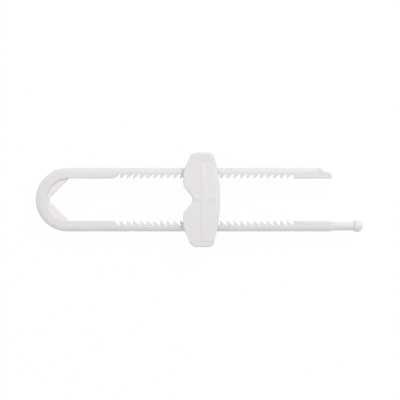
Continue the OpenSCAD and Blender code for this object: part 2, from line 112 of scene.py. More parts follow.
def widened(span: Span, by: float) -> Span:
    """Gives a span that starts earlier and ends later."""
    return span[0] - by, span[1] + by


@dataclass(frozen=True)
class Corner:
    """One corner of a flat outline.

    Attributes:
        x: place along the lock, in millimetres.
        y: place across the lock, in millimetres.
        turn: radius of the corner, seen from the front.
        steps: sides that the radius is drawn with.
        edge: radius of the front and back edges here.
        edge_after: the same past a sharp corner, where it changes there.
    """

    x: float
    y: float
    turn: float = 0.0
    steps: int = 3
    edge: float = 0.2
    edge_after: float | None = None


def flipped(corners: Sequence[Corner]) -> list[Corner]:
    """Mirrors corners to the other side of the lock's axis, listed the other way round."""
    return [replace(corner, y=-corner.y) for corner in reversed(corners)]


def turned_corner(a: Vector, b: Vector, c: Vector, radius: float, steps: int) -> list[Vector]:
    """Draws a rounded corner.

    Args:
        a: the corner before.
        b: the corner to round.
        c: the corner after.
        radius: radius of the arc in millimetres.
        steps: sides that the arc is drawn with.

    Returns:
        The arc's points, from the side a-b to the side b-c.
    """
    u, v = (a - b).normalized(), (c - b).normalized()
    half = math.acos(max(-1.0, min(1.0, u.dot(v)))) / 2
    centre = b + (u + v).normalized() * radius / math.sin(half)
    start = b + u * radius / math.tan(half) - centre
    end = b + v * radius / math.tan(half) - centre
    first = math.atan2(start.y, start.x)
    turn = (math.atan2(end.y, end.x) - first + math.pi) % math.tau - math.pi
    angles = [first + turn * i / steps for i in range(steps + 1)]
    return [centre + radius * Vector((math.cos(t), math.sin(t))) for t in angles]


@dataclass(frozen=True)
class Outline:
    """A closed outline, drawn with the solid on its left.

    Attributes:
        points: its corners in millimetres.
        edges: for each point, the edge radius of the side before it and of the side after it.
    """

    points: tuple[Vector, ...]
    edges: tuple[Span, ...]

    @classmethod
    def traced(cls, corners: Sequence[Corner]) -> "Outline":
        """Turns corners with radii into points.

        Args:
            corners: the outline's corners in order, the solid on the left.

        Returns:
            The outline, each radius drawn as short sides.
        """
        points: list[Vector] = []
        edges: list[Span] = []
        for i, corner in enumerate(corners):
            before, after = corners[i - 1], corners[(i + 1) % len(corners)]
            a, b, c = (Vector((k.x, k.y)) for k in (before, corner, after))
            drawn = turned_corner(a, b, c, corner.turn, corner.steps) if corner.turn else [b]
            points += drawn
            past = corner.edge if corner.edge_after is None else corner.edge_after
            edges += [(corner.edge, past)] * len(drawn)
        return cls(tuple(points), tuple(edges))

    def drawn_in(self, amount: Callable[[float], float]) -> list[Vector]:
        """Moves every side into the solid.

        Args:
            amount: gives a side's move in millimetres for its edge radius.

        Returns:
            The new corners, as many as the outline has.
        """
        count = len(self.points)
        normals = []
        for i in range(count):
            d = (self.points[(i + 1) % count] - self.points[i]).normalized()
            normals.append(Vector((-d.y, d.x)))
        moved = []
        for i, point in enumerate(self.points):
            m, n = normals[i - 1], normals[i]
            p, q = (amount(edge) for edge in self.edges[i])
            cross = m.x * n.y - m.y * n.x
            if p == q:
                shift = (m + n) * p / (1 + m.dot(n))
            else:
                shift = Vector(((p * n.y - q * m.y) / cross, (m.x * q - n.x * p) / cross))
            moved.append(point + shift)
        return moved


def edge_depths(radii: Sequence[float], half: float, seam: float) -> list[float]:
    """Finds the depths under a face at which a rounded prism needs a ring.

    Args:
        radii: the edge radii of the prism's sides.
        half: half the prism's thickness.
        seam: half width of the parting groove, or 0 for none.

    Returns:
        The depths from the face to the prism's middle, in rising order.
    """
    closest, large = 0.03, 1.5
    depths = {0.0}
    for radius in sorted(r for r in set(radii) if r > 0):
        steps = 2 + round(5 * min(1.0, radius / large))  # from 2 on a tiny edge to 7 on a large one
        room = min(closest, radius / 6)
        for k in range(steps + 1):
            depth = radius * (1 - math.sin(math.pi / 2 * k / steps))
            if depth < half - seam and all(abs(depth - d) > room for d in depths):
                depths.add(depth)
    if seam:
        depths.add(half - seam)
    return sorted(depths) + [half]


def rounded_prism(
    outline: Outline, low: float, high: float, seam: float = 0.0, spread: float = 1.0
) -> list[Ring]:
    """Stacks an outline into a prism with rounded edges.

    Args:
        outline: the prism's outline.
        low: height of its back face.
        high: height of its front face.
        seam: half width of the parting groove round its middle, or 0 for none.
        spread: how many times wider than deep the largest edges are.

    Returns:
        Rings from the back face to the front face.
    """
    half = (high - low) / 2
    radii = [edge for pair in outline.edges for edge in pair]
    largest = max(radii)
    depths = edge_depths(radii, half, seam)

    def ring(depth: float, height: float) -> Ring:
        """Draws the prism's section at one height.

        Args:
            depth: the way from there to the nearer face.
            height: the section's Z.

        Returns:
            The section.
        """
        groove = seam / 2 if seam and depth == half else 0.0

        def amount(radius: float) -> float:
            """Gives a side's way into the prism.

            Args:
                radius: the side's edge radius.

            Returns:
                The way at this depth.
            """
            short = radius - depth
            if short <= 0:
                return groove
            wide = spread if radius == largest else 1.0
            return wide * (radius - math.sqrt(max(0.0, radius**2 - short**2))) + groove

        return [(p.x, p.y, height) for p in outline.drawn_in(amount)]

    rings = [ring(d, low + d) for d in depths]
    upper = [ring(d, high - d) for d in reversed(depths[:-1])]
    return rings + upper


def lathe(profile: Sequence[Span], place: Matrix, sides: int = 64, seam: float = 0.0) -> list[Ring]:
    """Turns a profile about an axis.

    Args:
        profile: places along the axis with the radius there.
        place: puts the turned piece, whose axis is Z, where it goes.
        sides: sides of each ring.
        seam: depth of the parting line along the two sides.

    Returns:
        One ring for each point of the profile.
    """
    rings = []
    for along, radius in profile:
        ring = []
        for k in range(sides):
            turn = math.tau * k / sides
            r = radius - (seam if k in (0, sides // 2) else 0.0)
            ring.append(tuple(place @ Vector((r * math.cos(turn), r * math.sin(turn), along))))
        rings.append(ring)
    return rings


def swept_tube(line: Sequence[Vector], radius: float, sides: int) -> list[Ring]:
    """Lays a round tube along a line.

    Args:
        line: points of the centre line.
        radius: the tube's radius.
        sides: sides of the tube.

    Returns:
        One ring for each point of the line.
    """
    rings = []
    side = Vector((0.0, 1.0, 0.0))
    turns = [math.tau * j / sides for j in range(sides)]
    for k, point in enumerate(line):
        along = (line[min(k + 1, len(line) - 1)] - line[max(k - 1, 0)]).normalized()
        side = (side - along * side.dot(along)).normalized()
        other = along.cross(side)
        rings.append([tuple(point + radius * (side * math.cos(t) + other * math.sin(t))) for t in turns])
    return rings


# Finishes


def linear(code: str) -> tuple[float, float, float, float]:
    """Turns an sRGB colour into Blender's linear one.

    Args:
        code: six hex digits.

    Returns:
        Red, green, blue and full opacity.
    """
    parts = [int(code[i : i + 2], 16) / 255 for i in (0, 2, 4)]
    light = [p / 12.92 if p <= 0.04045 else ((p + 0.055) / 1.055) ** 2.4 for p in parts]
    return light[0], light[1], light[2], 1.0


def empty_tree(owner: bpy.types.Material | bpy.types.World) -> bpy.types.NodeTree:
    """Gives a material or the world a node tree with nothing in it yet.

    Args:
        owner: the material or world.

    Returns:
        Its node tree.
    """
    owner.use_nodes = True
    owner.node_tree.nodes.clear()
    return owner.node_tree


def add_node(
    tree: bpy.types.NodeTree, kind: str, sockets: dict | None = None, **settings: object
) -> bpy.types.Node:
    """Adds one node with its settings and links.

    Args:
        tree: the node tree that gets it.
        kind: the node's type, without Blender's common first words.
        sockets: for each input, a constant or the output that feeds it.
        **settings: the node's own options.

    Returns:
        The new node.
    """
    made = tree.nodes.new(f"ShaderNode{kind}")
    for name, value in settings.items():
        setattr(made, name, value)
    for name, value in (sockets or {}).items():
        if isinstance(value, bpy.types.NodeSocket):
            tree.links.new(value, made.inputs[name])
        else:
            made.inputs[name].default_value = value
    return made


def per_metre(size_mm: float) -> float:
    """Gives the texture scale at which a pattern repeats every size_mm millimetres."""
    return 1.0 / (size_mm * MM)


@dataclass(frozen=True)
class MouldedPlastic:
    """White plastic as it leaves the mould: satin, faintly cloudy, with soft marks of flow and use.

    Attributes:
        name: what the finish is called.
        colour: sRGB colour of the plastic.
        cloud: sRGB colour of its faint cloudier patches.
        roughness: how dull its surface is.
        ior: refractive index.
        grain_mm: size of the mould's fine texture.
        grain_depth_mm: depth of that texture.
        flow_mm: size of the slow waves that shrinkage leaves.
        flow_depth_mm: depth of those waves.
        rub_mm: length and spacing of fine rub marks along X.
        rub_share: how much the rub marks change the roughness.
        depth_mm: how far light travels in the plastic.
        glow: share of the light that travels so.
    """

    name: str
    colour: str
    cloud: str
    roughness: float
    ior: float
    grain_mm: float
    grain_depth_mm: float
    flow_mm: float
    flow_depth_mm: float
    rub_mm: Span
    rub_share: float
    depth_mm: float
    glow: float

    def material(self) -> bpy.types.Material:
        """Builds the finish as nodes.

        Returns:
            The material.
        """
        made = bpy.data.materials.new(self.name)
        tree = empty_tree(made)
        place = add_node(tree, "TexCoord").outputs["Object"]
        # slow clouds in the melt tint the plastic by a shade or two
        clouds = add_node(tree, "TexNoise", {
            "Vector": place, "Scale": per_metre(self.flow_mm), "Detail": 3.0, "Roughness": 0.55,
        })
        tint = add_node(tree, "Mix", {
            "Factor": clouds.outputs["Fac"], "A": linear(self.colour), "B": linear(self.cloud),
        }, data_type="RGBA")
        # fine lines along the legs where the slider and the hand have rubbed
        along, across = (per_metre(size) for size in self.rub_mm)
        stretch = add_node(tree, "VectorMath", {0: place, 1: (along, across, across)}, operation="MULTIPLY")
        rubs = add_node(tree, "TexNoise", {
            "Vector": stretch.outputs[0], "Scale": 1.0, "Detail": 4.0, "Roughness": 0.7,
        })
        dull = add_node(tree, "MapRange", {
            "Value": rubs.outputs["Fac"], "From Min": 0.3, "From Max": 0.7,
            "To Min": self.roughness - self.rub_share, "To Max": self.roughness + self.rub_share,
        })
        # the spark-eroded mould prints an even, very fine grain
        grain = add_node(tree, "TexNoise", {
            "Vector": place, "Scale": per_metre(self.grain_mm), "Detail": 2.0, "Roughness": 0.5,
        })
        waves = add_node(tree, "Bump", {
            "Strength": 1.0, "Distance": self.flow_depth_mm * MM, "Height": clouds.outputs["Fac"],
        })
        pores = add_node(tree, "Bump", {
            "Strength": 1.0, "Distance": self.grain_depth_mm * MM, "Height": grain.outputs["Fac"],
            "Normal": waves.outputs["Normal"],
        })
        skin = add_node(tree, "BsdfPrincipled", {
            "Base Color": tint.outputs["Result"],
            "Roughness": dull.outputs["Result"],
            "IOR": self.ior,
            "Subsurface Weight": self.glow,
            "Subsurface Radius": (1.0, 0.85, 0.75),
            "Subsurface Scale": self.depth_mm * MM,
            "Normal": pores.outputs["Normal"],
        })
        add_node(tree, "OutputMaterial", {"Surface": skin.outputs["BSDF"]})
        return made


@dataclass(frozen=True)
class DrawnSteel:
    """Bright spring wire: drawn through a die, so fine lines run along it.

    Attributes:
        name: what the finish is called.
        colour: sRGB colour of the steel.
        roughness: how dull it is.
        line_mm: spacing of the drawing lines.
        line_depth_mm: their depth.
    """

    name: str
    colour: str
    roughness: float
    line_mm: float
    line_depth_mm: float

    def material(self) -> bpy.types.Material:
        """Builds the finish as nodes.

        Returns:
            The material.
        """
        made = bpy.data.materials.new(self.name)
        tree = empty_tree(made)
        place = add_node(tree, "TexCoord").outputs["Object"]
        lines = add_node(tree, "TexNoise", {
            "Vector": place, "Scale": per_metre(self.line_mm), "Detail": 3.0, "Distortion": 1.5,
        }).outputs["Fac"]
        dull = add_node(tree, "MapRange", {
            "Value": lines, "To Min": self.roughness * 0.8, "To Max": self.roughness * 1.3,
        })
        relief = add_node(tree, "Bump", {
            "Strength": 1.0, "Distance": self.line_depth_mm * MM, "Height": lines,
        })
        skin = add_node(tree, "BsdfPrincipled", {
            "Base Color": linear(self.colour),
            "Metallic": 1.0,
            "Roughness": dull.outputs["Result"],
            "Normal": relief.outputs["Normal"],
        })
        add_node(tree, "OutputMaterial", {"Surface": skin.outputs["BSDF"]})
        return made


Finish = MouldedPlastic | DrawnSteel

# Polypropylene, injection moulded: white, waxy and a little translucent, so thin teeth look soft
WHITE_POLYPROPYLENE = MouldedPlastic(
    name="moulded_white_polypropylene",
    colour="E5E2E3",
    cloud="DFDCDD",
    roughness=0.46,
    ior=1.49,
    grain_mm=0.5,  # the real 0.05 mm is too fine to show, so it is drawn coarser
    grain_depth_mm=0.012,
    flow_mm=14.0,
    flow_depth_mm=0.06,
    rub_mm=(9.0, 0.5),
    rub_share=0.06,
    depth_mm=1.6,
    glow=0.25,
)
# The same polypropylene painted lighter on the web's faces: painted light standing in for the light from the
# floor that shines through the thin web
WEB_PAINTED_LIGHT_POLYPROPYLENE = replace(
    WHITE_POLYPROPYLENE, name="polypropylene_painted_web_light", colour="EDEBEC", cloud="E9E7E8"
)
# ABS, injection moulded in a finely eroded mould: white, even and satin
WHITE_ABS = MouldedPlastic(
    name="moulded_white_abs",
    colour="E5E3E4",
    cloud="E1DEDF",
    roughness=0.42,
    ior=1.54,
    grain_mm=0.45,  # the real 0.04 mm is too fine to show, so it is drawn coarser
    grain_depth_mm=0.008,
    flow_mm=18.0,
    flow_depth_mm=0.05,
    rub_mm=(5.0, 0.7),
    rub_share=0.05,
    depth_mm=0.9,
    glow=0.04,
)
# Acetal, injection moulded in a polished mould: a warmer, slightly glassy white
NATURAL_ACETAL = MouldedPlastic(
    name="moulded_natural_acetal",
    colour="E9E6DF",
    cloud="E3DFD6",
    roughness=0.3,
    ior=1.48,
    grain_mm=0.4,  # the real 0.02 mm is too fine to show, so it is drawn coarser
    grain_depth_mm=0.004,
    flow_mm=6.0,
    flow_depth_mm=0.03,
    rub_mm=(2.0, 0.3),
    rub_share=0.06,
    depth_mm=2.0,
    glow=0.15,
)
# Music wire, drawn and zinc plated: grey, with fine streaks along the wire
SPRING_WIRE = DrawnSteel(
    name="drawn_spring_wire",
    colour="A9ABAD",
    roughness=0.3,
    line_mm=0.12,  # the real 0.01 mm is too fine to show, so they are drawn coarser
    line_depth_mm=0.004,
)


# Pieces


class Workpiece:
    """One piece of the lock: a mesh in millimetres that is cut and joined, then finished in metres.

    Attributes:
        body: the piece's Blender object.
    """

    def __init__(self, name: str, rings: Sequence[Ring]) -> None:
        """Joins rings of equal length into a closed solid.

        Args:
            name: the piece's name.
            rings: the solid's sections, all listed the same way round.
        """
        mesh = bpy.data.meshes.new(name)
        shape = bmesh.new()
        rows = [[shape.verts.new(p) for p in ring] for ring in rings]
        count = len(rings[0])
        for low, high in zip(rows, rows[1:]):
            for i in range(count):
                j = (i + 1) % count
                shape.faces.new((low[i], low[j], high[j], high[i]))
        shape.faces.new(list(reversed(rows[0])))
        shape.faces.new(rows[-1])
        bmesh.ops.recalc_face_normals(shape, faces=shape.faces)
        shape.to_mesh(mesh)
        shape.free()
        self.body = bpy.data.objects.new(name, mesh)
        bpy.context.scene.collection.objects.link(self.body)

    def _join(self, how: Join, others: Sequence["Workpiece"]) -> "Workpiece":
        """Joins other workpieces to this one or takes them off, one after the other.

        Args:
            how: whether they are joined or taken off.
            others: the other workpieces, which are used up.

        Returns:
            This workpiece.
        """
        for other in others:
            bpy.context.view_layer.update()
            step = self.body.modifiers.new(how.name, "BOOLEAN")
            step.operation = how.value
            step.object = other.body
            step.solver = "EXACT"
            graph = bpy.context.evaluated_depsgraph_get()
            mesh = bpy.data.meshes.new_from_object(self.body.evaluated_get(graph))
            self.body.modifiers.clear()
            old, self.body.data = self.body.data, mesh
            bpy.data.meshes.remove(old)
            bpy.data.objects.remove(other.body)
        return self

    def add(self, *others: "Workpiece") -> "Workpiece":
        """Joins other workpieces to this one."""
        return self._join(Join.UNION, others)

    def cut(self, *others: "Workpiece") -> "Workpiece":
        """Takes other workpieces off this one."""
        return self._join(Join.DIFFERENCE, others)

    def moved(self, matrix: Matrix) -> "Workpiece":
        """Moves or mirrors the piece, and keeps its faces outwards.

        Args:
            matrix: the move or mirroring.

        Returns:
            This workpiece.
        """
        self.body.data.transform(matrix)
        if matrix.determinant() < 0:
            self.body.data.flip_normals()
        return self

    def finish(
        self, home: str, stands_for: str, slot: str, skin: Finish, crease: float = 35.0, weigh: bool = True
    ) -> bpy.types.Object:
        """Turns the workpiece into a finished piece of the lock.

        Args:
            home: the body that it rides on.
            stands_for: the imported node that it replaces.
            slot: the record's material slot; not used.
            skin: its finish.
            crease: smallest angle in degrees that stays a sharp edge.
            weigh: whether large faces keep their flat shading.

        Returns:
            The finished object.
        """
        mesh = self.body.data
        shape = bmesh.new()
        shape.from_mesh(mesh)
        bmesh.ops.remove_doubles(shape, verts=shape.verts, dist=WELD)
        bmesh.ops.dissolve_degenerate(shape, edges=shape.edges, dist=WELD)
        strays = [f for f in shape.faces if all(len(e.link_faces) == 1 for e in f.edges)]
        bmesh.ops.delete(shape, geom=strays, context="FACES")
        # the exact cuts can leave a sliver open
        bmesh.ops.holes_fill(shape, edges=[e for e in shape.edges if len(e.link_faces) == 1], sides=6)
        bmesh.ops.recalc_face_normals(shape, faces=shape.faces)
        open_edges = sum(1 for e in shape.edges if len(e.link_faces) != 2)
        shape.to_mesh(mesh)
        shape.free()
        mesh.transform(Matrix.Scale(MM, 4))
        mesh.shade_smooth()
        mesh.set_sharp_from_angle(angle=math.radians(crease))
        mesh.materials.clear()
        mesh.materials.append(MATERIALS[skin.name])
        if weigh:
            step = self.body.modifiers.new("flat_faces", "WEIGHTED_NORMAL")
            step.keep_sharp = True
        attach(self.body, home)
        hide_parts(stands_for)
        LOG.info("%s: %d faces, %d open edges", self.body.name, len(mesh.polygons), open_edges)
        return self.body


def block(name: str, x: Span, y: Span, z: Span, edge: float = 0.0, turn: float = 0.0) -> Workpiece:
    """Makes a straight block.

    Args:
        name: the workpiece's name.
        x: where it starts and ends along the lock.
        y: where it starts and ends across the lock.
        z: where it starts and ends in height.
        edge: radius of its front and back edges.
        turn: radius of its upright edges.

    Returns:
        The block.
    """
    places = [(x[0], y[0]), (x[1], y[0]), (x[1], y[1]), (x[0], y[1])]
    outline = Outline.traced([Corner(a, b, turn, 3, edge) for a, b in places])
    return Workpiece(name, rounded_prism(outline, *z))


@dataclass
class Shackle:
    """The U-shaped moulding: bend with its web, two toothed legs, rod and knob.

    Edges are the radii of its front and back edges, turns those of corners seen from the front.
    """

    inner: float = LEG_Y - BAR_W / 2  # from the lock's axis to the bar's inner side
    outer: float = LEG_Y + BAR_W / 2  # and to its outer side
    outer_edge: float = 2.9
    outer_spread: float = 1.24  # how many times wider than deep the outer edge is
    inner_edge: float = 0.85
    bend_edge: float = 0.5
    tooth_edge: float = 0.24
    tooth_turn: float = 0.25
    root_turns: Span = (0.45, 0.28)  # a notch's inner corners, at its gentle and its steep flank
    last_turn: float = 0.5
    end_edge: float = 0.5
    end_turn: float = 0.9
    lead_edge: float = 1.1
    run_out: float = 1.8  # length over which one edge radius turns into the next, twice that outside
    bend_x: float = -84.6  # the bend's centre
    long_end: float = 85.0
    short_end: float = 85.0
    rack_x: float = -50.7  # the first notch's steep flank
    pitch: float = 4.29  # from one notch to the next
    notches: int = 27
    depth: float = 2.8  # of a notch
    run: float = 3.4  # length of its gentle flank
    tip: float = 0.45  # width of a tooth's tip
    lean: float = 0.3  # how far its steep flank leans towards the bend
    lead_in: tuple[float, float, float, float] = (6.8, 1.9, 2.9, 1.7)  # length, steep part, drop, nose
    lead_turns: tuple[float, ...] = (0.6, 0.9, 1.2, 0.8, 1.3)  # from the leg's inner side to its outer
    web_half: float = 1.9  # half the web's thickness
    web_edge: float = 0.9
    painted_light_x: float = 1.0  # how far past the bend's centre the painted light on the web reaches
    painted_light_gap: float = 0.1  # how far inside the bar the painted light stops
    painted_light_level: float = 0.9  # least upright part of a normal where the painted light is used
    cradle: tuple[Span, ...] = ((0.45, 13.0), (-8.55, 4.1), (-11.45, 1.5))  # from its mouth to its floor
    cradle_turns: tuple[tuple[float, int], ...] = ((1.2, 4), (2.0, 5), (1.0, 4))  # radii and their sides
    fillet: float = 1.3  # radius between the web and the bar
    fillet_arc: Span = (102.0, 156.0)  # where the fillet round the web starts, and its sweep, in degrees
    fillet_steps: int = 48
    fillet_growth: Span = (0.15, 0.2)  # the fillet's share at its ends, and what each step adds
    fillet_sink: float = 0.3  # how far its bar reaches into the web
    rod_r: float = 2.8
    rod_seam: float = 0.03
    neck: float = 0.3  # radius of the fillet at the rod's root
    neck_angles: tuple[float, ...] = (0.5, 1.05, math.pi / 2)
    knob_x: float = 99.2
    knob_end: float = 105.0
    knob_r: float = 3.8
    knob_dome: float = 3.5
    dome_steps: int = 14
    knob_foot: tuple[Span, ...] = ((-0.2, 0.0), (-0.06, 0.06), (0.0, 0.2))  # past knob_x, over rod_r
    knob_back: tuple[Span, ...] = ((0.0, 1.0), (0.1, 0.78), (0.72, 0.12), (0.95, 0.0))  # under knob_r
    mark_place: Span = (69.5, LEG_Y + 0.3)
    mark_r: float = 2.0
    mark_slope: float = 0.15
    mark_depth: float = 0.12
    seam: float = 0.07  # half the parting groove's width

    def rack(self) -> list[Corner]:
        """Draws the upper leg's inner side.

        Returns:
            Its corners, from the bend to the last notch.
        """
        root = self.inner + self.depth
        gentle, sharp = self.root_turns
        corners = []
        for k in range(self.notches):
            steep = self.rack_x + k * self.pitch
            start = steep - self.pitch - self.lean + self.tip
            corners += [
                Corner(start, self.inner, self.tooth_turn, 2, self.tooth_edge),
                Corner(start + self.run, root, gentle, 2, self.tooth_edge),
                Corner(steep, root, sharp, 3, self.tooth_edge),
                Corner(steep - self.lean, self.inner, self.tooth_turn, 3, self.tooth_edge),
            ]
        last = corners.pop()
        before = Corner(corners[0].x - self.run_out, self.inner, edge=self.inner_edge)
        after = Corner(last.x + self.run_out, self.inner, edge=self.inner_edge)
        return [before, *corners, replace(last, turn=self.last_turn, steps=4), after]

    def bend_arc(self, radius: float, way: int, steps: int, edge: float) -> list[Corner]:
        """Draws half a circle round the bend.

        Args:
            radius: its radius.
            way: 1 from the upper leg to the lower one, -1 the other way.
            steps: sides that it is drawn with.
            edge: radius of its front and back edges.

        Returns:
            The half circle as corners.
        """
        turns = [math.pi / 2 + math.pi * k / steps for k in range(steps + 1)][::way]
        return [Corner(self.bend_x + radius * math.cos(t), radius * math.sin(t), edge=edge) for t in turns]

    def outline(self) -> Outline:
        """Draws the whole U.

        Returns:
            The outline, the solid on its left.
        """
        upper = self.rack()
        length, steep, drop, nose = self.lead_in
        end, start = self.short_end, self.short_end - length
        slant = (
            (end, self.inner, 3, self.end_edge),
            (end, self.outer - drop - nose, 4, self.end_edge),
            (end - nose / 2, self.outer - drop, 4, self.lead_edge),
            (start + steep, self.outer - drop * 2 / 3, 3, self.lead_edge),
            (start, self.outer, 4, self.lead_edge),
        )
        return Outline.traced([
            Corner(self.long_end, -self.outer, edge=self.outer_edge, edge_after=self.end_edge),
            Corner(self.long_end, -self.inner, self.end_turn, 4, self.inner_edge),
            *flipped(upper),
            *self.bend_arc(self.inner, -1, steps=60, edge=self.bend_edge),
            *upper,
            *(Corner(x, y, turn, steps, edge) for (x, y, steps, edge), turn in zip(slant, self.lead_turns)),
            Corner(start - 2 * self.run_out, self.outer, edge=self.outer_edge),
            *self.bend_arc(self.outer, 1, steps=80, edge=self.outer_edge),
        ])

    def bar(self) -> Workpiece:
        """Makes the U with its racks and rounded edges."""
        rings = rounded_prism(self.outline(), *mid_span(BAR_T / 2), self.seam, self.outer_spread)
        return Workpiece("shackle_moulding", rings)

    def web(self) -> Workpiece:
        """Makes the thin web inside the bend, with its V-shaped cradle.

        Returns:
            The web, which reaches into the bar.
        """
        reach = self.inner + BITE
        lip_x = self.bend_x + self.cradle[0][0]
        side = [
            Corner(self.bend_x + x, -y, turn, steps, self.web_edge)
            for (x, y), (turn, steps) in zip(self.cradle, self.cradle_turns)
        ]
        outline = Outline.traced([
            Corner(lip_x, reach, edge=0.0),
            *self.bend_arc(reach, 1, steps=40, edge=0.0)[1:-1],
            Corner(lip_x, -reach, edge=0.0),
            *side,
            *flipped(side),
        ])
        return Workpiece("web", rounded_prism(outline, *mid_span(self.web_half)))

    def web_fillet(self, way: int) -> Workpiece:
        """Makes the small fillet between the web and the bar.

        Args:
            way: 1 on the front, -1 on the back.

        Returns:
            The fillet as a bent bar.
        """
        inner, count = self.inner, self.fillet_steps
        start, sweep = self.fillet_arc
        least, growth = self.fillet_growth
        quarter = [math.pi / 2 * j / 4 for j in range(1, 5)]
        rings = []
        for k in range(count + 1):
            turn = math.radians(start + sweep * k / count)
            size = self.fillet * min(1.0, least + growth * min(k, count - k))
            section = [(inner + BITE, -self.fillet_sink), (inner + BITE, size), (inner, size)]
            section += [(inner - size + size * math.cos(a), size - size * math.sin(a)) for a in quarter]
            section.append((inner - size, -self.fillet_sink))
            rings.append([
                (self.bend_x + d * math.cos(turn), d * math.sin(turn), MID_Z + way * (self.web_half + h))
                for d, h in section
            ])
        return Workpiece("fillet", rings)

    def rod_and_knob(self) -> Workpiece:
        """Turns the rod and its knob.

        Returns:
            Both as one workpiece.
        """
        rod, knob, neck, dome = self.rod_r, self.knob_r, self.neck, self.knob_dome
        end, top = self.long_end, self.knob_end - self.knob_dome
        profile = [(end - BITE, rod + neck), (end, rod + neck)]
        profile += [
            (end + neck - neck * math.cos(a), rod + neck - neck * math.sin(a)) for a in self.neck_angles
        ]
        profile += [(self.knob_x + x, rod + over) for x, over in self.knob_foot]
        profile += [(self.knob_x + x, knob - under) for x, under in self.knob_back]
        angles = (math.pi / 2 * k / self.dome_steps for k in range(self.dome_steps + 1))
        profile += [(top + dome * math.sin(a), knob - dome + dome * math.cos(a)) for a in angles]
        place = Matrix.Translation((0, -LEG_Y, MID_Z)) @ Matrix.Rotation(math.pi / 2, 4, "Y")
        turn = Matrix.Rotation(math.pi / 2, 4, "Z")
        return Workpiece("rod", lathe(profile, place @ turn, seam=self.rod_seam))

    def marks(self) -> list[Workpiece]:
        """Makes the cutters for the two shallow round marks near the legs' ends.

        Returns:
            One cutter for each leg.
        """
        face, slope = MID_Z + BAR_T / 2, self.mark_slope
        x, y = self.mark_place
        profile = [(face - self.mark_depth, self.mark_r - slope), (face, self.mark_r)]
        profile.append((face + OVER, self.mark_r + 2 * slope))
        places = [Matrix.Translation((x, way * y, 0)) for way in (-1, 1)]
        return [Workpiece("mark", lathe(profile, place, sides=40)) for place in places]

    def build(self) -> None:
        """Makes the whole shackle."""
        made = self.bar().add(self.web(), self.web_fillet(1), self.web_fillet(-1), self.rod_and_knob())
        made.cut(*self.marks())
        self.paint_web_light(made.finish("shackle", "shackle", "shackle_plastic", WHITE_POLYPROPYLENE))

    def paint_web_light(self, moulding: bpy.types.Object) -> None:
        """Paints the web's two faces lighter: painted light for the light from the floor that shines through
        the thin web.

        Args:
            moulding: the finished shackle.
        """
        moulding.data.materials.append(MATERIALS[WEB_PAINTED_LIGHT_POLYPROPYLENE.name])
        reach = self.inner - self.painted_light_gap
        for face in moulding.data.polygons:
            x, y = face.center.x / MM - self.bend_x, face.center.y / MM
            level = abs(face.normal.z) > self.painted_light_level
            # painted light: the web's level faces inside the bar get the lighter colour
            if level and x < self.painted_light_x and math.hypot(x, y) < reach:
                face.material_index = 1


@dataclass
class SliderForm:
    """The slider's outline and the places of what is inside it."""

    half_span: float = 30.35
    lobe_x: float = 10.3  # how far the two lobes reach towards the bend
    bow_x: float = 13.45  # how far the long bow reaches towards the knob
    bow_r: float = 96.6
    bow_y: float = 27.0  # half the bow's length
    shoulder: Span = (4.92, 17.97)  # X of the end's corner and Y of the lobe's, on the bend's side
    notch: tuple[float, float, float] = (9.0, 4.6, 1.62)  # half its mouth, X of its floor, half its floor
    end_r: float = 3.4
    end_left_r: float = 5.0
    radii: tuple[float, float, float] = (16.0, 6.0, 1.2)  # at the shoulder, the lobe and the notch's floor
    wall: float = 1.8
    lip_y: float = 26.75  # where the covers' lips end
    wall_y: float = 23.3  # where the covers' walls end and their lips start
    head_y: float = 26.55  # where the button's head starts
    stirrup: Span = (-1.6, 8.2)  # X of the block at the stirrup's inner end
    block_y: Span = (5.35, 12.95)  # and its Y
    pawl_back: float = 10.35  # where the pawl's root sits on the block
    tenon_x: Span = (6.25, 7.55)
    tenon: float = 1.2  # how deep the pawl's tenon goes, and half its thickness
    fit: float = 0.05  # gap round a tenon, a pin and a lug
    outline: Outline = field(init=False)

    def __post_init__(self) -> None:
        """Draws the outline once."""
        self.outline = Outline.traced(self.corners())

    @property
    def all_x(self) -> Span:
        """A span along the lock that reaches past both sides of the slider."""
        return -2 * self.bow_x, 2 * self.bow_x

    @property
    def bow_angle(self) -> float:
        """Angle that the bow turns through from its middle to one end."""
        return math.asin(self.bow_y / self.bow_r)

    @property
    def bow_corner(self) -> float:
        """Where the bow's two end tangents meet."""
        return self.bow_x + self.bow_r * (1 / math.cos(self.bow_angle) - 1)

    @property
    def end_right(self) -> float:
        """Where the slider's end meets the long bow."""
        return self.bow_corner - self.half_span * math.tan(self.bow_angle)

    def corners(self) -> list[Corner]:
        """Draws the slider from the front.

        Returns:
            The outline's corners, the solid on the left.
        """
        notch_y, notch_x, floor = self.notch
        big, mid, small = self.radii
        upper = [
            Corner(self.end_right, self.half_span, self.end_r, 10),
            Corner(-self.shoulder[0], self.half_span, self.end_left_r, 12),
            Corner(-self.lobe_x, self.shoulder[1], big, 14),
            Corner(-self.lobe_x, notch_y, mid, 10),
            Corner(-notch_x, floor, small, 6),
        ]
        return [Corner(self.bow_corner, 0.0, self.bow_r, 48), *upper, *flipped(upper)]

    def reach(self, y: float, way: int) -> float:
        """Finds the outline's place along the lock.

        Args:
            y: the place across the lock.
            way: 1 for the knob's side, -1 for the bend's side.

        Returns:
            X of the outline there.
        """
        points = self.outline.points
        crossings = [
            a.x + (b.x - a.x) * (y - a.y) / (b.y - a.y)
            for a, b in zip(points, (*points[1:], points[0]))
            if (a.y - y) * (b.y - y) <= 0 and a.y != b.y
        ]
        return max(crossings, key=lambda x: x * way)

    def room(self, gap: float) -> Outline:
        """Gives the outline moved inwards by gap, with sharp edges."""
        moved = self.outline.drawn_in(lambda _: gap)
        return Outline(tuple(moved), ((0.0, 0.0),) * len(moved))


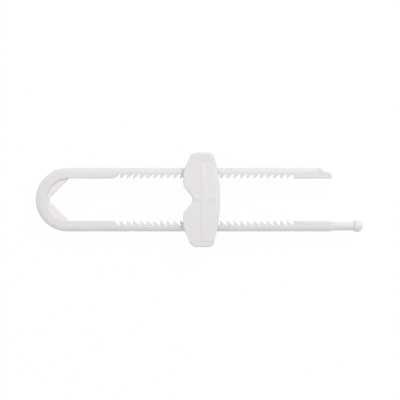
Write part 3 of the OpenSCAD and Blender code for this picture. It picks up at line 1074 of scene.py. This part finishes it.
@dataclass
class Cover:
    """One of the slider's two shells, drawn with its face up and the parting plane at Z 0.

    A pair of sizes for an edge is for the bend's side and the knob's side.
    """

    form: SliderForm
    side: Side
    room: float = 6.0  # height of the room inside
    lip_room: float = 6.85  # the same under the lips
    lip_edge: float = 0.05  # least height of a lip's upright rim
    edge_w: Span = (1.0, 2.8)
    edge_h: Span = (0.9, 1.8)
    feather: Span = (0.3, 0.04)  # length and drop of the lip's rounded end
    feather_steps: int = 4
    end_fall: float = 0.7  # how far the face falls towards the slider's ends
    fall_len: float = 20.0  # and over what length
    thin_len: float = 3.5  # length over which the rounded edge thins out towards a lip
    seam: float = 0.16  # half the parting groove's width
    ridge: float = 0.35  # height of the raised cross
    spine_x: Span = (0.9, 3.5)  # X of the two flanks of its long ridge
    spine_w: Span = (0.9, 2.0)  # width of these flanks
    flare: Span = (2.8, 9.0)  # how much wider it gets at the middle, and over what length
    spine_len: Span = (24.0, 3.0)  # half its length, and that of its run-out
    waist_y: float = 0.8  # Y of the crest of its short ridge
    waist_w: Span = (1.2, 1.8)  # its width below and above the crest
    column_marks: tuple[float, ...] = (0.3, 1.5, 7.0)
    column_gap: float = 0.4
    column_steps: tuple[int, ...] = (16, 8, 22, 10)
    pins: tuple[Point, ...] = ((-4.9, 10.55, 2.0), (10.1, 8.55, 1.6))  # X, Y and radius of the boss
    pin_r: float = 1.0
    pin_len: float = 4.0
    pin_bevel: float = 0.25
    rib: float = 0.8  # half the rib's thickness
    seat_r: float = 1.95
    seat_out: float = 1.8
    seat_bevel: float = 0.2
    flat_half: float = 9.0  # half the width of the block that cuts the seats flat
    lug: Span = (1.0, 1.6)  # width and height
    window_gap: float = 0.2
    window_r: Span = (0.5, 2.9)  # of the window's corners, on the lock's axis side and outside
    knob_way: float = 4.0  # radius of the knob's way out
    clear: float = 0.02  # how far what is inside stays off the parting plane
    rows: int = 150
    edge_steps: int = 10

    @property
    def face(self) -> float:
        """Height of the flat face over the parting plane."""
        return MID_Z - self.ridge if self.side is Side.FRONT else MID_Z

    def relief(self, x: float, y: float, lo: float, hi: float) -> float:
        """Gives the height of the raised cross on the front.

        Args:
            x: place along the lock.
            y: place across the lock.
            lo: where the cover starts there.
            hi: where it ends.

        Returns:
            The height over the flat face.
        """
        if self.side is Side.BACK:
            return 0.0
        wider, length = self.flare
        rise, drop = self.spine_w
        left, right = self.spine_x[0], self.spine_x[1] + wider * math.exp(-((y / length) ** 2))
        spine = eased((x - left) / rise + 0.5) * eased((right - x) / drop + 0.5)
        spine *= eased((self.spine_len[0] - abs(y)) / self.spine_len[1])
        away = y - self.waist_y
        below, above = self.waist_w
        waist = math.exp(-((away / (above if away > 0 else below)) ** 2))
        kept = eased(2 * (x - lo) / self.edge_w[0] - 1) * eased(2 * (hi - x) / self.edge_w[1] - 1)
        return self.ridge * kept * (1 - (1 - spine) * (1 - waist))

    def edge_depth(self, y: float, top: float, full: float) -> float:
        """Gives the depth of the rounded edge, which thins out over the lips.

        Args:
            y: place across the lock.
            top: height of the face there.
            full: the edge's depth away from the lips.

        Returns:
            The depth under the face.
        """
        thin = eased((abs(y) - self.form.wall_y + self.thin_len) / self.thin_len)
        return full * (1 - thin) + (top - self.lip_room - self.lip_edge) * thin

    def edge_width(self, y: float, way: int, full: float) -> float:
        """Gives the width of the rounded edge along the lock, more where the outline slants.

        Args:
            y: place across the lock.
            way: 1 for the knob's side, -1 for the bend's side.
            full: the edge's width across itself.

        Returns:
            The width along X.
        """
        step = 0.05
        ahead = self.form.reach(min(y + step, self.form.lip_y), way)
        return full * math.hypot(1, (ahead - self.form.reach(y - step, way)) / (2 * step))

    def columns(self, left: float, right: float) -> list[float]:
        """Spaces the face's columns, closest on the long ridge's steep flank.

        Args:
            left: where the flat face starts along the lock.
            right: where it ends.

        Returns:
            The columns' places from left to right.
        """
        *near, last = self.column_marks
        marks = (left, *near, min(last, right - self.column_gap), right)
        spans = zip(marks, marks[1:], self.column_steps)
        return [a + (b - a) * k / steps for a, b, steps in spans for k in range(steps)] + [right]

    def section(self, y: float, drop: float) -> Ring:
        """Draws one section across the cover.

        Args:
            y: the section's place across the lock.
            drop: how far the face is lowered, where the cover's ends thin out.

        Returns:
            The section from the parting plane over the face and back.
        """
        lo, hi = self.form.reach(y, -1), self.form.reach(y, 1)
        wide_lo, wide_hi = (self.edge_width(y, way, full) for way, full in zip((-1, 1), self.edge_w))
        fallen = max(0.0, abs(y) - self.form.lip_y + self.fall_len) / self.fall_len
        top = self.face - self.end_fall * eased(fallen)
        deep_lo, deep_hi = (self.edge_depth(y, top, full) for full in self.edge_h)
        turns = [math.pi / 2 * k / self.edge_steps for k in range(self.edge_steps)]
        over = [(lo + wide_lo * (1 - math.cos(a)), top - deep_lo * (1 - math.sin(a))) for a in turns]
        over += [(x, top) for x in self.columns(lo + wide_lo, hi - wide_hi)]
        turns.reverse()
        over += [(hi - wide_hi * (1 - math.cos(a)), top - deep_hi * (1 - math.sin(a))) for a in turns]
        ring: Ring = [(lo + self.seam, y, 0.0), (lo, y, self.seam)]
        ring += [(x, y, z + self.relief(x, y, lo, hi) - drop) for x, z in over]
        ring += [(hi, y, self.seam), (hi - self.seam, y, 0.0)]
        return ring

    def skin(self) -> Workpiece:
        """Makes the cover's outside.

        Returns:
            A solid, not hollowed yet.
        """
        length, depth = self.feather
        lip = self.form.lip_y
        shares = [(k + 1) / self.feather_steps for k in range(self.feather_steps)]
        ends = [(lip - length * (1 - share), depth * share**2) for share in shares]
        rows = [(-y, drop) for y, drop in reversed(ends)]
        rows += [(2 * (lip - length) * (k / self.rows - 0.5), 0.0) for k in range(self.rows + 1)]
        rows += ends
        return Workpiece(f"{self.side.name.lower()}_shell", [self.section(y, drop) for y, drop in rows])

    def hollow(self) -> list[Workpiece]:
        """Makes the cutters for the room, the open ends and the ways of the legs and the knob.

        Returns:
            The cutters in the order of their use.
        """
        form = self.form
        inner = form.room(form.wall)
        flat = [Vector((p.x, max(-form.wall_y - OVER, min(form.wall_y + OVER, p.y)))) for p in inner.points]
        tools = [Workpiece("room", rounded_prism(Outline(tuple(flat), inner.edges), -OVER, self.room))]
        way_out = [(0, self.knob_way), (form.bow_x + OVER, self.knob_way)]
        for way in (-1, 1):
            across = side_span(way, form.wall_y, form.lip_y + 2 * OVER)
            tools.append(block("end", form.all_x, across, (-OVER, self.lip_room)))
            tools.append(self.window(way))
            leg = Matrix.Translation((0, way * LEG_Y, 0)) @ Matrix.Rotation(math.pi / 2, 4, "Y")
            tools.append(Workpiece("knob_way", lathe(way_out, leg, sides=48)))
        return tools

    def window(self, way: int) -> Workpiece:
        """Makes the cutter for one leg's window.

        Args:
            way: 1 for the upper leg, -1 for the lower one.

        Returns:
            The bar's section with its gap, run through the whole slider.
        """
        gap = self.window_gap
        wide, tall = BAR_W / 2 + gap, BAR_T / 2 + gap
        near, far = self.window_r
        places = ((-wide, -tall, near), (wide, -tall, far), (wide, tall, far), (-wide, tall, near))
        section = Outline.traced([Corner(y, z, r + gap, 6) for y, z, r in places]).points
        ends = widened((-self.form.lobe_x, self.form.bow_x), OVER)
        return Workpiece("window", [[(x, way * (LEG_Y + p.x), p.y) for p in section] for x in ends])

    def seats(self) -> Workpiece:
        """Makes the two seats on which the springs sit.

        Returns:
            Half a turned bar, its flat on the parting plane.
        """
        out, r, bevel = self.seat_out, self.seat_r, self.seat_bevel
        wide = (-self.flat_half, self.flat_half)
        place = Matrix.Translation((SPRING_X, 0, 0)) @ Matrix.Rotation(math.pi / 2, 4, "X")
        profile = [(-out, r - bevel), (-out + bevel, r), (out - bevel, r), (out, r - bevel)]
        below = block("below", wide, wide, (-self.flat_half, 2 * self.clear))
        return Workpiece("seats", lathe(profile, place, sides=48)).cut(below)

    def inside(self) -> list[Workpiece]:
        """Makes the rib, the spring seats, the bosses and the stop lugs.

        Those that meet start at heights of their own, so that no two of their faces coincide.

        Returns:
            The pieces in the order in which they are joined.
        """
        form, low, top = self.form, self.clear, self.room + BITE
        near, far = form.reach(0, -1) + form.wall - BITE, form.reach(0, 1) - form.wall + BITE
        made = [block("rib", (near, far), (-self.rib, self.rib), (low, top)), self.seats()]
        wide, tall = self.lug
        lug_y = form.block_y[1] + form.fit
        for way in (-1, 1):
            for x, y, r in self.pins:
                place = Matrix.Translation((x, way * y, 0))
                made.append(Workpiece("boss", lathe([(low, r), (top, r)], place, sides=40)))
            x, y, r = self.pins[1]
            edge = form.reach(way * y, 1) - form.wall + BITE
            across = side_span(way, y - r + 5 * low, y + r - 5 * low)
            made.append(block("root", (x + low, edge), across, (3 * low, top - low)))
            across = side_span(way, lug_y, lug_y + wide)
            for x in (form.stirrup[0], form.stirrup[1] - wide):
                made.append(block("lug", (x, x + wide), across, (self.room - tall, top)))
        return made

    def pinned(self, made: Workpiece) -> Workpiece:
        """Gives the front its four pins, or the back the holes for them.

        Args:
            made: the cover so far.

        Returns:
            The same cover.
        """
        r, length, fit = self.pin_r, self.pin_len, self.form.fit
        pin = [(-length, r - self.pin_bevel), (-length + self.pin_bevel, r), (BITE, r)]
        hole = [(-OVER, r + fit), (length + fit, r + fit)]
        for way in (-1, 1):
            for x, y, _ in self.pins:
                place = Matrix.Translation((x, way * y, 0))
                if self.side is Side.FRONT:
                    made.add(Workpiece("pin", lathe(pin, place, sides=32)))
                else:
                    made.cut(Workpiece("hole", lathe(hole, place, sides=32)))
        return made

    def build(self) -> None:
        """Makes the whole cover and turns it the right way up."""
        made = self.pinned(self.skin().cut(*self.hollow()).add(*self.inside()))
        made.moved(Matrix.Translation((0, 0, MID_Z)) @ Matrix.Diagonal((1, 1, self.side.value, 1)))
        made.finish("slider", f"{self.side.name.lower()}_cover", "slider_plastic", WHITE_ABS)


@dataclass
class ReleaseButton:
    """A squeeze button: the slider's end, two arms past the leg, and the block behind it."""

    form: SliderForm
    hand: Hand
    edge: float = 1.5
    seam: float = 0.06
    head_z: Span = (1.2, 14.8)
    arm_z: Span = (2.3, 13.7)
    arm_t: float = 1.6
    arm_x: Span = (-0.3, 6.9)
    arm_edges: Span = (0.3, 0.36)  # radii of the level and the upright edges
    block_edges: Span = (0.35, 0.42)
    neck_y: float = 23.8  # where the two arms join behind the head
    trough: float = 3.05  # half its height
    pocket: float = 3.0
    pocket_r: float = 3.05
    pocket_bevel: Span = (0.3, 0.2)  # depth and width

    def head(self) -> Workpiece:
        """Makes the visible head.

        Returns:
            The head, flat on the side of the covers.
        """
        form = self.form
        y = form.head_y - 2 * self.edge
        outline = Outline.traced([
            Corner(form.reach(y, 1), y, edge=self.edge),
            Corner(form.end_right, form.half_span, form.end_r, 12, self.edge),
            Corner(-form.shoulder[0], form.half_span, form.end_left_r, 16, self.edge),
            Corner(form.reach(y, -1), y, edge=self.edge),
        ])
        made = Workpiece(f"{self.hand.name.lower()}_key", rounded_prism(outline, *self.head_z, self.seam))
        return made.cut(block("inner_end", form.all_x, (y - OVER, form.head_y), (0, 2 * MID_Z)))

    def stirrup(self) -> list[Workpiece]:
        """Makes the neck with its two arms, and the block.

        Returns:
            The arms and the block.
        """
        low, high = self.arm_z
        near, far = self.form.block_y
        end = self.form.head_y + BITE + self.edge
        arms = block("arms", self.arm_x, (far - BITE, end), self.arm_z, *self.arm_edges)
        between = (low + self.arm_t, high - self.arm_t)
        arms.cut(block("between", widened(self.arm_x, OVER), (near, self.neck_y), between))
        return [arms, block("block", self.form.stirrup, self.form.block_y, self.arm_z, *self.block_edges)]

    def cuts(self) -> list[Workpiece]:
        """Makes the cutters for the pawl's trough, its tenon and the spring's pocket.

        Returns:
            The three cutters.
        """
        form = self.form
        near, far = form.block_y
        deep = form.tenon + form.fit
        mortise_x = widened(form.tenon_x, form.fit)
        turn = Matrix.Translation((SPRING_X, 0, MID_Z)) @ Matrix.Rotation(-math.pi / 2, 4, "X")
        r, (sunk, wider) = self.pocket_r, self.pocket_bevel
        profile = [(near - OVER, r + OVER), (near, r + wider), (near + sunk, r), (near + self.pocket, r)]
        return [
            block("trough", widened(form.stirrup, OVER), (form.pawl_back, far + OVER), mid_span(self.trough)),
            block("mortise", mortise_x, (form.pawl_back - deep, far), mid_span(deep)),
            Workpiece("pocket", lathe(profile, turn, sides=48)),
        ]

    def build(self) -> None:
        """Makes the whole button."""
        made = self.head().add(*self.stirrup()).cut(*self.cuts())
        made.moved(Matrix.Diagonal((1, self.hand.value, 1, 1)))
        name = self.hand.name.lower()
        made.finish(f"{name}_release", f"{name}_button", "button_plastic", WHITE_ABS)


@dataclass
class Pawl:
    """The springy toothed tongue that locks into a leg's rack."""

    form: SliderForm
    hand: Hand
    half: float = 3.0  # half its height
    tongue: Span = (11.55, 12.95)  # Y of the tongue's two sides
    root_x: float = 5.6  # where its root starts
    steep: Span = (4.62, 0.33)  # X of its teeth's steep flanks
    tip: float = 0.351  # width of a tooth's tip
    tip_y: float = 16.05
    slope: float = 2.8 / 3.4
    valley: tuple[float, float, float] = (0.1, 0.08, 0.02)  # how far in, and how high at its two ends
    edge: float = 0.12
    kept: float = 0.34  # share of it that is left when it gives way

    def outline(self) -> Outline:
        """Draws the tongue, its root and its two teeth.

        Returns:
            The outline, the solid on its left.
        """
        lo, hi = self.form.stirrup
        near, far = self.tongue
        back, tip, tip_y = self.form.pawl_back, self.tip, self.tip_y
        first, second = self.steep
        inset, start, end = self.valley
        drop = (tip_y - far) / self.slope
        # X, Y and radius of each corner
        places = [
            (lo, near, 0.4),
            (self.root_x, near, 0.5),
            (self.root_x, back, 0.3),
            (hi, back, 0.3),
            (hi, far, 0.4),
            (first, far, 0.25),
            (first, tip_y, 0.14),
            (first - tip, tip_y, 0.15),
            (first - tip - drop + inset, far + start, 0.0),
            (second, far + end, 0.0),
            (second, tip_y, 0.14),
            (second - tip, tip_y, 0.15),
            (lo, tip_y - (second - tip - lo) * self.slope, 0.3),
        ]
        return Outline.traced([Corner(x, y, r, 3, self.edge) for x, y, r in places])

    def build(self) -> None:
        """Makes the pawl."""
        name = self.hand.name.lower()
        back, deep = self.form.pawl_back, self.form.tenon
        made = Workpiece(f"{name}_tongue", rounded_prism(self.outline(), *mid_span(self.half)))
        made.add(block("tenon", self.form.tenon_x, (back - deep, back + BITE), mid_span(deep)))
        made.moved(Matrix.Diagonal((1, self.hand.value, 1, 1)))
        done = made.finish(f"{name}_release", f"{name}_pawl", "pawl_plastic", NATURAL_ACETAL, weigh=False)
        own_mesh(done)


@dataclass
class ReturnSpring:
    """A compression spring with closed ends, between the rib and the stirrup's block."""

    hand: Hand
    wire_r: float = 0.25
    coil_r: float = 2.5
    start: float = 0.85  # Y of its inner end
    end: float = 8.3  # Y of its outer end
    closed: float = 0.9  # turns at each end that lie on the next one
    closed_rise: float = 2.1  # what they rise in each turn, for a wire of radius 1
    active: float = 4.2
    per_turn: int = 28
    sides: int = 12
    kept: float = 0.584  # share of its length that is left when its button is pressed

    def line(self) -> list[Vector]:
        """Draws the wire's centre line: even turns between two closed ones.

        Returns:
            Its points, from the rib outwards.
        """
        turns = self.active + 2 * self.closed
        low, high = self.start + self.wire_r, self.end - self.wire_r
        rise = self.closed_rise * self.wire_r * self.closed
        points = []
        count = round(turns * self.per_turn)
        for k in range(count + 1):
            t = turns * k / count
            if t < self.closed:
                y = low + rise * (t / self.closed) ** 2
            elif t > turns - self.closed:
                y = high - rise * ((turns - t) / self.closed) ** 2
            else:
                y = low + rise + (high - low - 2 * rise) * (t - self.closed) / self.active
            x, z = self.coil_r * math.cos(math.tau * t), self.coil_r * math.sin(math.tau * t)
            points.append(Vector((SPRING_X + x, y, MID_Z + z)))
        return points

    def build(self) -> None:
        """Makes the spring."""
        name = self.hand.name.lower()
        made = Workpiece(f"{name}_coil", swept_tube(self.line(), self.wire_r, self.sides))
        if self.hand is Hand.LOWER:
            made.moved(Matrix.Translation((2 * SPRING_X, 0, 0)) @ Matrix.Rotation(math.pi, 4, "Z"))
        done = made.finish("slider", f"{name}_spring", "spring_steel", SPRING_WIRE, crease=60.0, weigh=False)
        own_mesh(done)


# Studio


@dataclass(frozen=True)
class Lamp:
    """A soft box.

    Attributes:
        name: its name.
        place: where it stands, in metres.
        size: its side, in metres.
        power: its power in watts.
    """

    name: str
    place: Point
    size: float
    power: float

    def build(self) -> None:
        """Hangs the lamp so that it faces the lock."""
        light = bpy.data.lights.new(self.name, "AREA")
        light.shape = "SQUARE"
        light.size = self.size
        light.energy = self.power
        made = bpy.data.objects.new(self.name, light)
        made.location = self.place
        made.rotation_mode = "QUATERNION"
        made.rotation_quaternion = (-Vector(self.place)).to_track_quat("-Z", "Y")
        bpy.context.scene.collection.objects.link(made)


@dataclass
class Studio:
    """Plain pale floor, even light from above and the camera straight over the lock, in metres."""

    sky: float = 0.735
    floor_colour: str = "FAFAFA"
    floor_white: float = 0.965  # share of plain white in what the camera sees of the floor
    floor_half: float = 6.0
    floor_gap: float = 0.0002
    frame_mm: float = 256.9  # width of the picture at the height of the legs
    aim_mm: Span = (0.45, -0.22)
    height: float = 1.4
    sensor: float = 36.0
    far: float = 20.0
    lamps: tuple[Lamp, ...] = (
        Lamp("key_lamp", (0.745, 1.064, 1.17), 0.6, 11.2),
        Lamp("fill_lamp", (-1.5, 0.1, 0.7), 1.0, 1.6),
    )

    def seen_directly(self, tree: bpy.types.NodeTree) -> bpy.types.NodeSocket:
        """Tells rays that show a surface from the light on the object.

        Args:
            tree: the node tree that asks.

        Returns:
            1 for rays from the camera, a mirror or glass, and 0 for others.
        """
        path = add_node(tree, "LightPath").outputs
        rays = {0: path["Is Camera Ray"], 1: path["Is Glossy Ray"]}
        either = add_node(tree, "Math", rays, operation="MAXIMUM").outputs[0]
        rays = {0: either, 1: path["Is Transmission Ray"]}
        return add_node(tree, "Math", rays, operation="MAXIMUM").outputs[0]

    def world(self) -> None:
        """Lights the lock evenly and shows white behind it."""
        world = bpy.data.worlds.new("studio_air")
        tree = empty_tree(world)
        light = add_node(tree, "Background", {"Color": WHITE, "Strength": self.sky})
        white = add_node(tree, "Background", {"Color": WHITE, "Strength": 1.0})
        mixed = {0: self.seen_directly(tree), 1: light.outputs[0], 2: white.outputs[0]}
        add_node(tree, "OutputWorld", {"Surface": add_node(tree, "MixShader", mixed).outputs[0]})
        bpy.context.scene.world = world

    def floor(self) -> None:
        """Lays a pale floor that looks white and keeps the lock's shadow."""
        paper = bpy.data.materials.new("white_paper_floor")
        tree = empty_tree(paper)
        matt = add_node(tree, "BsdfDiffuse", {"Color": linear(self.floor_colour)})
        white = add_node(tree, "Emission", {"Color": WHITE, "Strength": 1.0})
        part = {0: self.seen_directly(tree), 1: self.floor_white}
        share = add_node(tree, "Math", part, operation="MULTIPLY")
        mixed = {0: share.outputs[0], 1: matt.outputs[0], 2: white.outputs[0]}
        add_node(tree, "OutputMaterial", {"Surface": add_node(tree, "MixShader", mixed).outputs[0]})
        mesh = bpy.data.meshes.new("floor")
        ways = ((-1, -1), (1, -1), (1, 1), (-1, 1))
        mesh.from_pydata([(x * self.floor_half, y * self.floor_half, 0) for x, y in ways], [], [(0, 1, 2, 3)])
        mesh.materials.append(paper)
        floor = bpy.data.objects.new("floor", mesh)
        floor.location.z = -self.floor_gap
        bpy.context.scene.collection.objects.link(floor)

    def camera(self) -> None:
        """Hangs the camera straight over the lock, with the photograph's framing."""
        data = bpy.data.cameras.new("camera")
        data.sensor_width = self.sensor
        data.lens = self.sensor * (self.height - MID_Z * MM) / (self.frame_mm * MM)
        data.clip_end = self.far
        made = bpy.data.objects.new("camera", data)
        made.location = (self.aim_mm[0] * MM, self.aim_mm[1] * MM, self.height)
        bpy.context.scene.collection.objects.link(made)
        bpy.context.scene.camera = made

    def build(self) -> None:
        """Sets up the whole studio."""
        bpy.context.scene.view_settings.view_transform = "Standard"
        self.world()
        self.floor()
        self.camera()
        for lamp in self.lamps:
            lamp.build()


FINISHES = (WHITE_POLYPROPYLENE, WEB_PAINTED_LIGHT_POLYPROPYLENE, WHITE_ABS, NATURAL_ACETAL, SPRING_WIRE)
MATERIALS = {finish.name: finish.material() for finish in FINISHES}


def main() -> None:
    """Builds the lock piece by piece, then the studio around it."""
    logging.basicConfig(level=logging.INFO, format="%(name)s %(message)s")
    Studio().build()
    Shackle().build()
    form = SliderForm()
    for side in Side:
        Cover(form, side).build()
    for hand in Hand:
        ReleaseButton(form, hand).build()
        Pawl(form, hand).build()
        ReturnSpring(hand).build()


if __name__ == "__main__":
    main()
